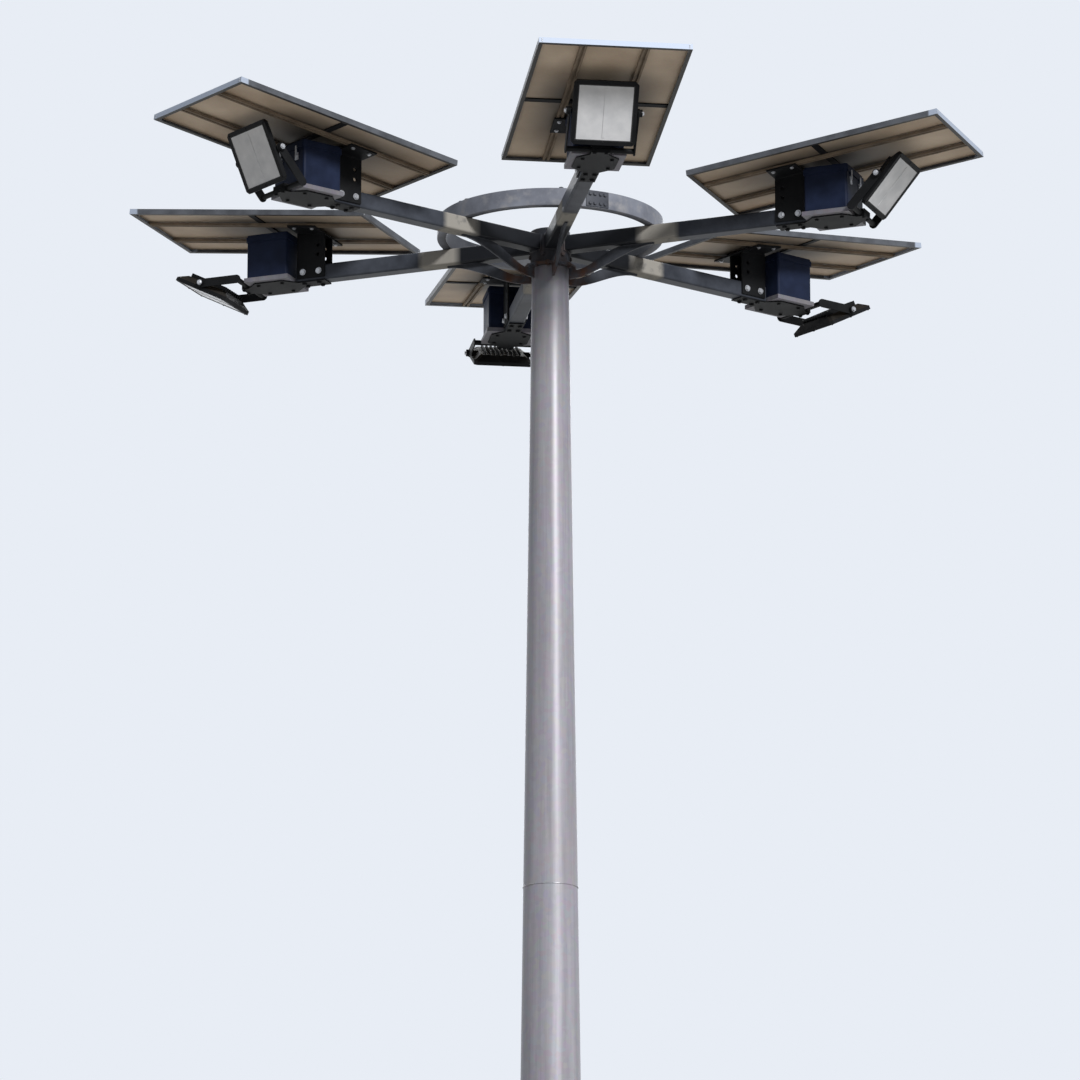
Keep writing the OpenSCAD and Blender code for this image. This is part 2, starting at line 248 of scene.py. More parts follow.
# Mast
# Three conical sections rolled from 6 mm plate are butt welded end to end. The girth welds show as low
# beads round the mast, and each section's own long seam runs down it, turned away from its neighbour's.
SECTIONS = ("mast_base_section", "mast_middle_section", "mast_top_section")
wear(galvanised, *SECTIONS)
SECTION_FEET = [(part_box(name)[1][0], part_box(name)[0][2]) for name in SECTIONS]
MAST_TOP_RADIUS, SLEEVE_OVERLAP = 82 * MM, 170 * MM
SEAM_TURNS = (80, 130, 60)
MAST_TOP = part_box("mast_top_section")[1][2]
mast_welds = [bead(hoop(radius, height), 3 * MM, closed=True) for radius, height in SECTION_FEET[1:]]
ends = SECTION_FEET + [(MAST_TOP_RADIUS, MAST_TOP)]
for number, turn in enumerate(SEAM_TURNS):
    (low_radius, low), (high_radius, high) = ends[number], ends[number + 1]
    a = math.radians(turn)
    out = Vector((math.cos(a), math.sin(a), 0))
    stop = high - SLEEVE_OVERLAP if high == MAST_TOP else high
    share = (stop - low) / (high - low)
    top_radius = low_radius + (high_radius - low_radius) * share
    foot, top = out * low_radius + Vector((0, 0, low)), out * top_radius + Vector((0, 0, stop))
    mast_welds.append(bead(line(foot, top, 60 * MM), 2 * MM))
piece("mast_welds", mast_welds, galvanised, "tower")

# Hub sleeve
# A short steel tube with a cap slips over the mast's top. The braces push up against the plate brim that is
# welded to its foot, and six set screws, painted over, lock it to the mast.

# Mid grey alkyd enamel brushed on steel: dull satin, chalked by the sun in patches some 150 mm wide, painted
# black as painted shade towards the mast, worn through in flakes of 60 mm, with a faint brush texture of 6
# mm, drawn coarser than the real 1 mm to show. On the arms the same flakes carry painted sunlight.


def enamel(name, dark, light, near, far, worn_and_sunlit_tone, share):
    """Grey enamel with painted shade nearer the mast's axis, and another tone between two distances from it:
    wear on most parts, painted sunlight on the arms.
    """
    material = new_material(name)
    at = add(material, "ShaderNodeTexCoord")
    chalk = add(
        material,
        "ShaderNodeTexNoise",
        {"Scale": every(150), "Detail": 6.0, "Roughness": 0.6},
        {"Vector": at.outputs["Object"]},
    )
    brush = add(
        material, "ShaderNodeTexNoise", {"Scale": every(6), "Detail": 2.0}, {"Vector": at.outputs["Object"]}
    )
    tone = add(material, "ShaderNodeValToRGB", {}, {"Fac": chalk.outputs["Fac"]})
    tone.color_ramp.elements[0].position = 0.32
    tone.color_ramp.elements[0].color = linear(dark)
    tone.color_ramp.elements[1].position = 0.68
    tone.color_ramp.elements[1].color = linear(light)
    flat = add(material, "ShaderNodeMapping", {"Scale": (1.0, 1.0, 0.0)}, {"Vector": at.outputs["Object"]})
    out = add(material, "ShaderNodeVectorMath", {"operation": "LENGTH"}, {0: flat.outputs[0]})
    rise = add(
        material,
        "ShaderNodeMapRange",
        {"From Min": near - 0.02, "From Max": near + 0.02},
        {"Value": out.outputs["Value"]},
    )
    fall = add(
        material,
        "ShaderNodeMapRange",
        {"From Min": far + 0.02, "From Max": far - 0.01},
        {"Value": out.outputs["Value"]},
    )
    within = add(
        material, "ShaderNodeMath", {"operation": "MULTIPLY"}, {0: rise.outputs[0], 1: fall.outputs[0]}
    )
    # Painted shade: within the near distance of the mast's axis the enamel is mixed 88% towards near black.
    painted_shade = add(material, "ShaderNodeMapRange", {"To Min": 0.88, "To Max": 0.0}, {"Value": rise.outputs[0]})
    shade_mixed = add(
        material,
        "ShaderNodeMix",
        {"data_type": "RGBA", 7: linear("#111215")},
        {0: painted_shade.outputs[0], 6: tone.outputs[0]},
    )
    blotch = add(
        material,
        "ShaderNodeTexNoise",
        {"Scale": every(60), "Detail": 6.0, "Roughness": 0.6},
        {"Vector": at.outputs["Object"]},
    )
    flakes = add(
        material,
        "ShaderNodeMapRange",
        {"From Min": 0.86 - share, "From Max": 1.14 - share},
        {"Value": blotch.outputs["Fac"]},
    )
    # Between the two distances the enamel takes another tone in flakes: wear on sleeve, ring and braces,
    # painted sunlight on the arms.
    worn_and_sunlit = add(
        material, "ShaderNodeMath", {"operation": "MULTIPLY"}, {0: within.outputs[0], 1: flakes.outputs[0]}
    )
    mixed = add(
        material,
        "ShaderNodeMix",
        {"data_type": "RGBA", 7: linear(worn_and_sunlit_tone)},
        {0: worn_and_sunlit.outputs[0], 6: shade_mixed.outputs[2]},
    )
    sheen = add(
        material,
        "ShaderNodeMapRange",
        {"To Min": 0.42, "To Max": 0.8},
        {"Value": worn_and_sunlit.outputs[0]},
    )
    height = add(
        material, "ShaderNodeMath", {"operation": "SUBTRACT"}, {0: brush.outputs["Fac"], 1: worn_and_sunlit.outputs[0]}
    )
    relief = add(
        material, "ShaderNodeBump", {"Strength": 0.15, "Distance": 0.5 * MM}, {"Height": height.outputs[0]}
    )
    skin = add(
        material,
        "ShaderNodeBsdfPrincipled",
        {"Specular IOR Level": 0.14},
        {"Base Color": mixed.outputs[2], "Roughness": sheen.outputs[0], "Normal": relief.outputs[0]},
    )
    add(material, "ShaderNodeOutputMaterial", {}, {"Surface": skin.outputs[0]})
    return material


HUB_RADIUS, SET_SCREW_DROP = 91 * MM, 58 * MM
# Painted shade: the sleeve's copy of the grey enamel is painted darker than the ring's, and near black all
# over as it lies inside 0.10 m of the axis.
shaded_hub_enamel = enamel("shaded_grey_enamel_on_sleeve", "#34363c", "#4f525a", 0.10, 0.14, "#4b3527", 0.46)
wear(shaded_hub_enamel, "hub_sleeve")

# Zinc plated steel fasteners: bright grey hexagons dulled to satin, each a shade apart.
zinc = new_material("zinc_plated_steel")
at = add(zinc, "ShaderNodeTexCoord")
tarnish = add(
    zinc, "ShaderNodeTexNoise", {"Scale": every(15), "Detail": 3.0}, {"Vector": at.outputs["Object"]}
)
tone = add(zinc, "ShaderNodeValToRGB", {}, {"Fac": tarnish.outputs["Fac"]})
tone.color_ramp.elements[0].color = linear("#8e9096")
tone.color_ramp.elements[1].color = linear("#d2d3d6")
skin = add(
    zinc,
    "ShaderNodeBsdfPrincipled",
    {"Metallic": 0.75, "Roughness": 0.36},
    {"Base Color": tone.outputs[0]},
)
add(zinc, "ShaderNodeOutputMaterial", {}, {"Surface": skin.outputs[0]})

HEADS = range(1, 7)
ARM_LOW, ARM_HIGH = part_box("arm_1")
ARM_SIDE = ARM_HIGH[2] - ARM_LOW[2]
ARM_MID = (ARM_HIGH[2] + ARM_LOW[2]) / 2
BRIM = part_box("hub_sleeve")[0][2] - ARM_MID


def head(k):
    """Frame of head k: x outward along its arm, y across it, z up, origin on the mast's axis."""
    turn = Matrix.Rotation(math.radians(60 * (k - 1) - 90), 4, "Z")
    return Matrix.Translation((0, 0, ARM_MID)) @ turn


def shift(x, y, z):
    """Move by metres."""
    return Matrix.Translation((x, y, z))


def facing(x, y, z):
    """Turn that takes +Z to a direction."""
    return Vector((x, y, z)).to_track_quat("Z", "Y").to_matrix().to_4x4()


def turned(place, rings, sides):
    """A solid of stacked rings, each a radius and a height, closed at both ends."""
    points = []
    for radius, height in rings:
        for i in range(sides):
            a = 2 * math.pi * (i + 0.5) / sides
            points.append(place @ Vector((radius * math.cos(a), radius * math.sin(a), height)))
    faces = []
    for level in range(len(rings) - 1):
        a, b = level * sides, (level + 1) * sides
        faces += [[a + i, a + (i + 1) % sides, b + (i + 1) % sides, b + i] for i in range(sides)]
    top = (len(rings) - 1) * sides
    return points, faces + [list(range(sides))[::-1], list(range(top, top + sides))]


def bolt(place, size):
    """A chamfered hexagon head of a metric thread size, on its washer."""
    corner, tall, washer = size * 1.0, size * 0.66, size * 0.18
    head_rings = [(corner, washer), (corner, washer + tall * 0.8), (corner * 0.84, washer + tall)]
    return [turned(place, [(size * 1.25, 0), (size * 1.25, washer)], 24), turned(place, head_rings, 6)]


set_screws = []
for k in HEADS:
    beside = head(k) @ Matrix.Rotation(math.radians(30), 4, "Z")
    set_screws += bolt(beside @ shift(HUB_RADIUS, 0, -SET_SCREW_DROP) @ facing(1, 0, 0), 10 * MM)
# The set screws wear the sleeve's darker enamel, painted shade.
piece("sleeve_set_screws", set_screws, shaded_hub_enamel, "tower")

# Arms
# Square steel tubes, closed at the outer end, are welded to the sleeve and run out under the ring.
# Their enamel is painted darker than the ring's as painted shade. Just outside the ring a pale tone is
# painted in patches as painted sunlight, and inside the ring painted shade blackens them.
lit_and_shaded_arm_enamel = enamel("lit_and_shaded_grey_enamel_on_arms", "#2c2f36", "#484c55", 0.45, 0.63, "#97938c", 0.68)
wear(lit_and_shaded_arm_enamel, *[f"arm_{k}" for k in HEADS])
half = ARM_SIDE / 2
arm_welds = []
for k in HEADS:
    at = head(k)
    loop = [(half, -half), (half, half), (-half, half), (-half, -half)]
    for (z0, y0), (z1, y1) in zip(loop, loop[1:] + loop[:1]):
        steps = line((0, y0, z0), (0, y1, z1), 7 * MM)
        seam = [at @ Vector((math.sqrt(HUB_RADIUS**2 - p.y**2) + 1 * MM, p.y, p.z)) for p in steps]
        arm_welds.append(bead(seam, 4 * MM))
# The arm welds wear the sleeve's darker enamel, painted near black as painted shade.
piece("arm_welds", arm_welds, shaded_hub_enamel, "tower")

# Ring
# One hoop rolled from rectangular hollow section in two halves lies on the arms. Plates bolted over the
# two joints hold the halves, and fillets hold the hoop to the arms.
# Painted shade: inside 0.475 m from the axis the ring's enamel, its inner face and inner welds, is painted
# near black.
ring_enamel = enamel("grey_enamel_on_ring", "#6c6f79", "#8b8f9a", 0.495, 0.53, "#9b9a9c", 0.36)
wear(ring_enamel, "ring")
RING_LOW, RING_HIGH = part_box("ring")
RING_OUT = RING_HIGH[0]
RING_IN = RING_OUT - 40 * MM
RING_BOLT_SIDE = 22 * MM
ring_seat, ring_crown = RING_LOW[2] - ARM_MID, RING_HIGH[2] - ARM_MID
ring_welds, ring_bolts, splices = [], [], []
for k in HEADS:
    at = head(k)
    for radius in (RING_IN, RING_OUT):
        steps = line((0, -half + 6 * MM, ring_seat), (0, half - 6 * MM, ring_seat), 7 * MM)
        seam = [at @ Vector((math.sqrt(radius**2 - p.y**2), p.y, p.z)) for p in steps]
        ring_welds.append(bead(seam, 4 * MM))
    for side in (-RING_BOLT_SIDE, RING_BOLT_SIDE):
        ring_bolts += bolt(at @ shift((RING_IN + RING_OUT) / 2, side, ring_crown), 11 * MM)
PLATE_SPAN, PLATE_THICK, PLATE_TALL, PLATE_STEPS = 110 * MM, 4 * MM, 74 * MM, 8
SPLICE_TURNS = (-74, 106)
SPLICE_BOLTS_ALONG, SPLICE_BOLTS_UP = (-36 * MM, -14 * MM, 14 * MM, 36 * MM), (-22 * MM, 22 * MM)
for turn in SPLICE_TURNS:
    mid = (ring_seat + ring_crown) / 2
    points, faces = [], []
    for i in range(PLATE_STEPS + 1):
        a = (i / PLATE_STEPS - 0.5) * PLATE_SPAN / RING_OUT
        for radius in (RING_OUT, RING_OUT + PLATE_THICK):
            for z in (mid - PLATE_TALL / 2, mid + PLATE_TALL / 2):
                spot = Vector((radius * math.cos(a), radius * math.sin(a), z + ARM_MID))
                points.append(Matrix.Rotation(math.radians(turn), 4, "Z") @ spot)
    for i in range(PLATE_STEPS):
        a, b = 4 * i, 4 * i + 4
        faces += [[a + 2, b + 2, b + 3, a + 3], [a, a + 1, b + 1, b]]
        faces += [[a + 1, a + 3, b + 3, b + 1], [a, b, b + 2, a + 2]]
    end = 4 * PLATE_STEPS
    faces += [[0, 2, 3, 1], [end, end + 1, end + 3, end + 2]]
    splices.append((points, faces))
    for along in SPLICE_BOLTS_ALONG:
        for up in SPLICE_BOLTS_UP:
            swing = Matrix.Rotation(math.radians(turn) + along / RING_OUT, 4, "Z")
            spot = swing @ shift(RING_OUT + PLATE_THICK, 0, mid + up + ARM_MID)
            ring_bolts += bolt(spot @ facing(1, 0, 0), 8 * MM)
piece("ring_welds", ring_welds, ring_enamel, "tower")
# Splice plates and ring bolts wear the sleeve's darker enamel, painted shade.
piece("ring_splice_plates", splices, shaded_hub_enamel, "tower")
piece("ring_bolts", ring_bolts, shaded_hub_enamel, "tower")

# Knee braces
# Six curved plates cut from 10 mm steel carry the arms from below. They stand on edge, welded under the arm
# and under the brim, where water has rusted their feet. Two bolts go through the brim beside each foot.
# Painted shade: the braces' copy of the grey enamel is painted darker than the ring's; the rust at their feet
# is real.
shaded_brace_enamel = enamel("shaded_grey_enamel_on_braces", "#303237", "#4d5057", -0.1, 0.22, "#4a3226", 0.48)
wear(shaded_brace_enamel, "knee_braces")
BRACE_HALF = 5 * MM
ARM_SEAM_IN, ARM_SEAM_OUT = 0.362, 0.508
FOOT_SEAM_IN, FOOT_SEAM_OUT = 0.096, 0.119
BRIM_BOLT_OUT, BRIM_BOLT_SIDE, BRIM_THICK = 0.104, 26 * MM, 10 * MM
brace_welds, brim_bolts = [], []
for k in HEADS:
    at = head(k)
    for side in (-BRACE_HALF, BRACE_HALF):
        top = line((ARM_SEAM_IN, side, -half), (ARM_SEAM_OUT, side, -half), 8 * MM)
        foot = line((FOOT_SEAM_IN, side, BRIM), (FOOT_SEAM_OUT, side, BRIM), 6 * MM)
        brace_welds += [bead([at @ p for p in top], 4 * MM), bead([at @ p for p in foot], 4 * MM)]
    for side in (-BRIM_BOLT_SIDE, BRIM_BOLT_SIDE):
        spot = at @ shift(BRIM_BOLT_OUT, side, BRIM)
        brim_bolts += bolt(spot @ shift(0, 0, BRIM_THICK), 9 * MM)
        brim_bolts += bolt(spot @ facing(0, 0, -1), 9 * MM)
# Brace welds and brim bolts wear the braces' darker enamel, painted shade.
piece("brace_welds", brace_welds, shaded_brace_enamel, "tower")
piece("brim_bolts", brim_bolts, shaded_brace_enamel, "tower")

# Panel brackets
# Two black plates clasp each arm and carry a saddle plate under the panel's rails. Bolts go through plates
# and arm, and the spare holes above let the installer set the panel's height.

# Black powder coat on steel plate: semi matt with orange peel of 4 mm, drawn coarser than the real 1 mm,
# and brown road dust lying on the faces that look up.


def powder(name, colour, dust_colour, roughness):
    """Powder coat with orange peel, cloudy fading and dust on upward faces."""
    material = new_material(name)
    at = add(material, "ShaderNodeTexCoord")
    peel = add(
        material, "ShaderNodeTexNoise", {"Scale": every(4), "Detail": 2.0}, {"Vector": at.outputs["Object"]}
    )
    fading = add(
        material, "ShaderNodeTexNoise", {"Scale": every(90), "Detail": 5.0}, {"Vector": at.outputs["Object"]}
    )
    normal = add(material, "ShaderNodeNewGeometry")
    up = add(material, "ShaderNodeSeparateXYZ", {}, {0: normal.outputs["Normal"]})
    lying = add(
        material,
        "ShaderNodeMapRange",
        {"From Min": 0.3, "From Max": 1.0, "To Min": 0.0, "To Max": 0.5},
        {"Value": up.outputs["Z"]},
    )
    patchy = add(
        material,
        "ShaderNodeMath",
        {"operation": "MULTIPLY"},
        {0: lying.outputs[0], 1: fading.outputs["Fac"]},
    )
    faded = add(material, "ShaderNodeValToRGB", {}, {"Fac": fading.outputs["Fac"]})
    base = linear(colour)
    faded.color_ramp.elements[0].position = 0.3
    faded.color_ramp.elements[0].color = [c * 0.75 for c in base[:3]] + [1.0]
    faded.color_ramp.elements[1].position = 0.72
    faded.color_ramp.elements[1].color = [c * 1.45 + 0.004 for c in base[:3]] + [1.0]
    mixed = add(
        material,
        "ShaderNodeMix",
        {"data_type": "RGBA", 7: linear(dust_colour)},
        {0: patchy.outputs[0], 6: faded.outputs[0]},
    )
    gloss = add(
        material,
        "ShaderNodeMapRange",
        {"To Min": roughness - 0.06, "To Max": roughness + 0.12},
        {"Value": fading.outputs["Fac"]},
    )
    relief = add(
        material, "ShaderNodeBump", {"Strength": 0.12, "Distance": 0.3 * MM}, {"Height": peel.outputs["Fac"]}
    )
    skin = add(
        material,
        "ShaderNodeBsdfPrincipled",
        {"Specular IOR Level": 0.12},
        {"Base Color": mixed.outputs[2], "Roughness": gloss.outputs[0], "Normal": relief.outputs[0]},
    )
    add(material, "ShaderNodeOutputMaterial", {}, {"Surface": skin.outputs[0]})
    return material


black_coat = powder("black_powder_coat", "#0c0d0f", "#5b5349", 0.55)
wear(black_coat, "panel_brackets")
SADDLE_THICK = 8 * MM
CHEEK = half + SADDLE_THICK
SADDLE_IN, SADDLE_OUT = 1.114, 1.254
CHEEK_BOLT_INSET, CHEEK_BOLT_UP = 30 * MM, 4 * MM
SADDLE_SEAM, SADDLE_BOLT_ALONG, SADDLE_BOLT_SIDE = 68 * MM, 45 * MM, 137 * MM
PANEL_OUT, PANEL_UNDER, SLOPE = 1.390, 0.220, math.radians(7)
saddle_mid = (SADDLE_IN + SADDLE_OUT) / 2
saddle_under = PANEL_UNDER + (saddle_mid - PANEL_OUT) * math.tan(SLOPE) - SADDLE_THICK / math.cos(SLOPE)
bracket_bolts, bracket_welds = [], []
for k in HEADS:
    at = head(k)
    for along in (SADDLE_IN + CHEEK_BOLT_INSET, SADDLE_OUT - CHEEK_BOLT_INSET):
        for side in (-1, 1):
            spot = at @ shift(along, side * CHEEK, CHEEK_BOLT_UP)
            bracket_bolts += bolt(spot @ facing(0, side, 0), 12 * MM)
    tilted = at @ shift(saddle_mid, 0, saddle_under) @ Matrix.Rotation(-SLOPE, 4, "Y")
    for side in (-1, 1):
        steps = line((-SADDLE_SEAM, side * CHEEK, 0), (SADDLE_SEAM, side * CHEEK, 0), 8 * MM)
        bracket_welds.append(bead([tilted @ p for p in steps], 4 * MM))
        for along in (-SADDLE_BOLT_ALONG, SADDLE_BOLT_ALONG):
            spot = tilted @ shift(along, side * SADDLE_BOLT_SIDE, 0)
            bracket_bolts += bolt(spot @ facing(0, 0, -1), 8 * MM)
piece("bracket_bolts", bracket_bolts, zinc, "tower")
piece("bracket_welds", bracket_welds, black_coat, "tower")

# Panel frames, rails and cross bars
# Mitred aluminium extrusions hold each module's edge. Two slotted steel rails run the module's length
# underneath with one black flat bar across the middle.

# Anodised aluminium extrusion: satin metal with die marks of 5 mm, drawn coarser than the real 1 mm. It is
# dark grey in patches of 80 mm; a painted highlight makes the high outer rail pale, and painted shade makes
# the lip below darkest.
anodised = new_material("anodised_aluminium")
at = add(anodised, "ShaderNodeTexCoord")
normal = add(anodised, "ShaderNodeNewGeometry")
up = add(anodised, "ShaderNodeSeparateXYZ", {}, {0: normal.outputs["Normal"]})
# Painted shade: faces that look down are painted near black and lose their metal.
shaded_underside = add(
    anodised,
    "ShaderNodeMath",
    {"operation": "LESS_THAN", 1: -0.6},
    {0: up.outputs["Z"]},
)
die_marks = add(
    anodised,
    "ShaderNodeTexNoise",
    {"Scale": every(5), "Detail": 2.0},
    {"Vector": at.outputs["Object"]},
)
frame_patches = add(
    anodised, "ShaderNodeTexNoise", {"Scale": every(80), "Detail": 5.0}, {"Vector": at.outputs["Object"]}
)
frame_tone = add(anodised, "ShaderNodeValToRGB", {}, {"Fac": frame_patches.outputs["Fac"]})
frame_tone.color_ramp.elements[0].position = 0.3
frame_tone.color_ramp.elements[0].color = linear("#3d3f44")
frame_tone.color_ramp.elements[1].position = 0.6
frame_tone.color_ramp.elements[1].color = linear("#585b61")
flat = add(anodised, "ShaderNodeMapping", {"Scale": (1.0, 1.0, 0.0)}, {"Vector": at.outputs["Object"]})
out = add(anodised, "ShaderNodeVectorMath", {"operation": "LENGTH"}, {0: flat.outputs[0]})
PANEL_LENGTH, PANEL_WIDTH, PANEL_DEPTH = 1.200, 0.670, 25 * MM
OUTER_RAIL = PANEL_OUT + PANEL_LENGTH / 2 * math.cos(SLOPE) - 12 * MM
# Painted highlight: the outermost rail is painted pale blue-grey.
painted_highlight_mask = add(
    anodised,
    "ShaderNodeMapRange",
    {"From Min": OUTER_RAIL - 4 * MM, "From Max": OUTER_RAIL + 4 * MM},
    {"Value": out.outputs["Value"]},
)
painted_highlight_tone = add(
    anodised,
    "ShaderNodeMix",
    {"data_type": "RGBA", 7: linear("#a9b3c4")},
    {0: painted_highlight_mask.outputs[0], 6: frame_tone.outputs[0]},
)
tone = add(
    anodised,
    "ShaderNodeMix",
    {"data_type": "RGBA", 7: linear("#16130f")},
    {0: shaded_underside.outputs[0], 6: painted_highlight_tone.outputs[2]},
)
shine = add(
    anodised,
    "ShaderNodeMapRange",
    {"To Min": 0.15, "To Max": 0.0},
    {"Value": shaded_underside.outputs[0]},
)
relief = add(
    anodised, "ShaderNodeBump", {"Strength": 0.1, "Distance": 0.2 * MM}, {"Height": die_marks.outputs["Fac"]}
)
skin = add(
    anodised,
    "ShaderNodeBsdfPrincipled",
    {"Roughness": 0.5, "Specular IOR Level": 0.4},
    {"Base Color": tone.outputs[2], "Metallic": shine.outputs[0], "Normal": relief.outputs[0]},
)
add(anodised, "ShaderNodeOutputMaterial", {}, {"Surface": skin.outputs[0]})
wear(anodised, *[f"panel_frame_{k}" for k in HEADS])

# Tan powder coat on the steel rails: matt, faded in patches and dusty, close to the backsheet's tone.
rail_coat = powder("tan_rail_paint", "#7d6f60", "#8a7c6c", 0.6)
wear(rail_coat, "panel_rails")
wear(black_coat, "panel_cross_bars")


def panel(k):
    """Frame of panel k: x up its slope, y across it, z out of its face, origin amid its underside."""
    return head(k) @ shift(PANEL_OUT, 0, PANEL_UNDER) @ Matrix.Rotation(-SLOPE, 4, "Y")


def strip(place, start, end, width, low, high):
    """A flat strip from one point to another in a plane, between two heights."""
    a, b = Vector(start).to_3d(), Vector(end).to_3d()
    side = Vector((-(b - a).y, (b - a).x, 0)).normalized() * width / 2
    corners = [a - side, b - side, b + side, a + side]
    points = [place @ (c + Vector((0, 0, z))) for z in (low, high) for c in corners]
    faces = [[3, 2, 1, 0], [4, 5, 6, 7], [0, 1, 5, 4], [1, 2, 6, 5], [2, 3, 7, 6], [3, 0, 4, 7]]
    return points, faces


MITRE_START, MITRE_END = 0.5 * MM, 10 * MM
SCREW_INSET, SCREW_HEIGHTS = 14 * MM, (8 * MM, 17 * MM)
SCREW_DOME = [(3.4 * MM, 0), (3.2 * MM, 1 * MM), (2 * MM, 1.9 * MM), (0.6 * MM, 2.2 * MM)]
mitres, frame_screws = [], []
for k in HEADS:
    at = panel(k)
    for sx in (-1, 1):
        for sy in (-1, 1):
            x, y = PANEL_LENGTH / 2, PANEL_WIDTH / 2
            corner = (sx * (x - MITRE_START), sy * (y - MITRE_START))
            inner = (sx * (x - MITRE_END), sy * (y - MITRE_END))
            mitres.append(strip(at, corner, inner, 1.5 * MM, PANEL_DEPTH - 0.4 * MM, PANEL_DEPTH + 0.3 * MM))
            for z in SCREW_HEIGHTS:
                spot = at @ shift(sx * x, sy * (y - SCREW_INSET), z)
                frame_screws.append(turned(spot @ facing(sx, 0, 0), SCREW_DOME, 12))
piece("frame_mitres", mitres, black_coat, "tower")
piece("frame_screws", frame_screws, zinc, "tower")

# Laminates
# Tempered glass, silicon cells and a polymer backsheet, painted tan for warm ground light, are pressed into
# one sheet and sealed in the frame. Each module has four columns of nine cells, joined by three tinned
# ribbons a column.

# Polymer backsheet: matt film, painted tan as a warm tint of light thrown up from the ground, cloudy over 250
# mm and speckled with dust at 9 mm, which is drawn coarser than the real grit. Painted shade darkens it round
# the box and along the arm.
backsheet = new_material("warm_lit_polymer_backsheet")
at = add(backsheet, "ShaderNodeTexCoord")
cloud = add(
    backsheet, "ShaderNodeTexNoise", {"Scale": every(250), "Detail": 5.0}, {"Vector": at.outputs["Object"]}
)
speck = add(
    backsheet, "ShaderNodeTexNoise", {"Scale": every(9), "Detail": 3.0}, {"Vector": at.outputs["Object"]}
)
# The tan is a painted warm tint of light thrown up from the ground.
tone = add(backsheet, "ShaderNodeValToRGB", {}, {"Fac": cloud.outputs["Fac"]})
tone.color_ramp.elements[0].position = 0.3
tone.color_ramp.elements[0].color = linear("#bca58d")
tone.color_ramp.elements[1].position = 0.7
tone.color_ramp.elements[1].color = linear("#dfcbb3")
dusty = add(
    backsheet,
    "ShaderNodeMix",
    {"data_type": "RGBA", "blend_type": "SOFT_LIGHT", 0: 0.25},
    {6: tone.outputs[0], 7: speck.outputs["Color"]},
)
ARM_STEP = math.radians(60)
# Painted shade: round the box and along each arm the sheet is mixed up to 90% towards dark brown.
SHADE_IN, SHADE_FULL_IN, SHADE_FULL_OUT, SHADE_OUT = 0.70, 1.22, 1.46, 1.84
SHADE_MIDDLE, SHADE_SIDE = 0.12, 0.36
flat = add(backsheet, "ShaderNodeMapping", {"Scale": (1.0, 1.0, 0.0)}, {"Vector": at.outputs["Object"]})
out = add(backsheet, "ShaderNodeVectorMath", {"operation": "LENGTH"}, {0: flat.outputs[0]})
spot = add(backsheet, "ShaderNodeSeparateXYZ", {}, {0: flat.outputs[0]})
bearing = add(
    backsheet, "ShaderNodeMath", {"operation": "ARCTAN2"}, {0: spot.outputs["Y"], 1: spot.outputs["X"]}
)
turn = add(
    backsheet, "ShaderNodeMath", {"operation": "WRAP", 1: ARM_STEP, 2: 0.0}, {0: bearing.outputs[0]}
)
off_arm = add(
    backsheet, "ShaderNodeMath", {"operation": "SUBTRACT", 1: ARM_STEP / 2}, {0: turn.outputs[0]}
)
lean = add(backsheet, "ShaderNodeMath", {"operation": "SINE"}, {0: off_arm.outputs[0]})
offset = add(
    backsheet, "ShaderNodeMath", {"operation": "MULTIPLY"}, {0: lean.outputs[0], 1: out.outputs["Value"]}
)
aside = add(backsheet, "ShaderNodeMath", {"operation": "ABSOLUTE"}, {0: offset.outputs[0]})
soft_edge = {"interpolation_type": "SMOOTHSTEP"}
shade_rise = add(
    backsheet,
    "ShaderNodeMapRange",
    {**soft_edge, "From Min": SHADE_IN, "From Max": SHADE_FULL_IN},
    {"Value": out.outputs["Value"]},
)
shade_fall = add(
    backsheet,
    "ShaderNodeMapRange",
    {**soft_edge, "From Min": SHADE_OUT, "From Max": SHADE_FULL_OUT},
    {"Value": out.outputs["Value"]},
)
shade_width = add(
    backsheet,
    "ShaderNodeMapRange",
    {**soft_edge, "From Min": SHADE_SIDE, "From Max": SHADE_MIDDLE, "To Max": 0.9},
    {"Value": aside.outputs[0]},
)
shade_length = add(
    backsheet,
    "ShaderNodeMath",
    {"operation": "MULTIPLY"},
    {0: shade_rise.outputs[0], 1: shade_fall.outputs[0]},
)
painted_shade = add(
    backsheet,
    "ShaderNodeMath",
    {"operation": "MULTIPLY"},
    {0: shade_length.outputs[0], 1: shade_width.outputs[0]},
)
shade_mixed = add(
    backsheet,
    "ShaderNodeMix",
    {"data_type": "RGBA", 7: linear("#2d2a27")},
    {0: painted_shade.outputs[0], 6: dusty.outputs[2]},
)
relief = add(
    backsheet, "ShaderNodeBump", {"Strength": 0.08, "Distance": 0.3 * MM}, {"Height": speck.outputs["Fac"]}
)
skin = add(
    backsheet,
    "ShaderNodeBsdfPrincipled",
    {"Roughness": 0.58},
    {"Base Color": shade_mixed.outputs[2], "Normal": relief.outputs[0]},
)
add(backsheet, "ShaderNodeOutputMaterial", {}, {"Surface": skin.outputs[0]})
wear(backsheet, "panel_laminates")

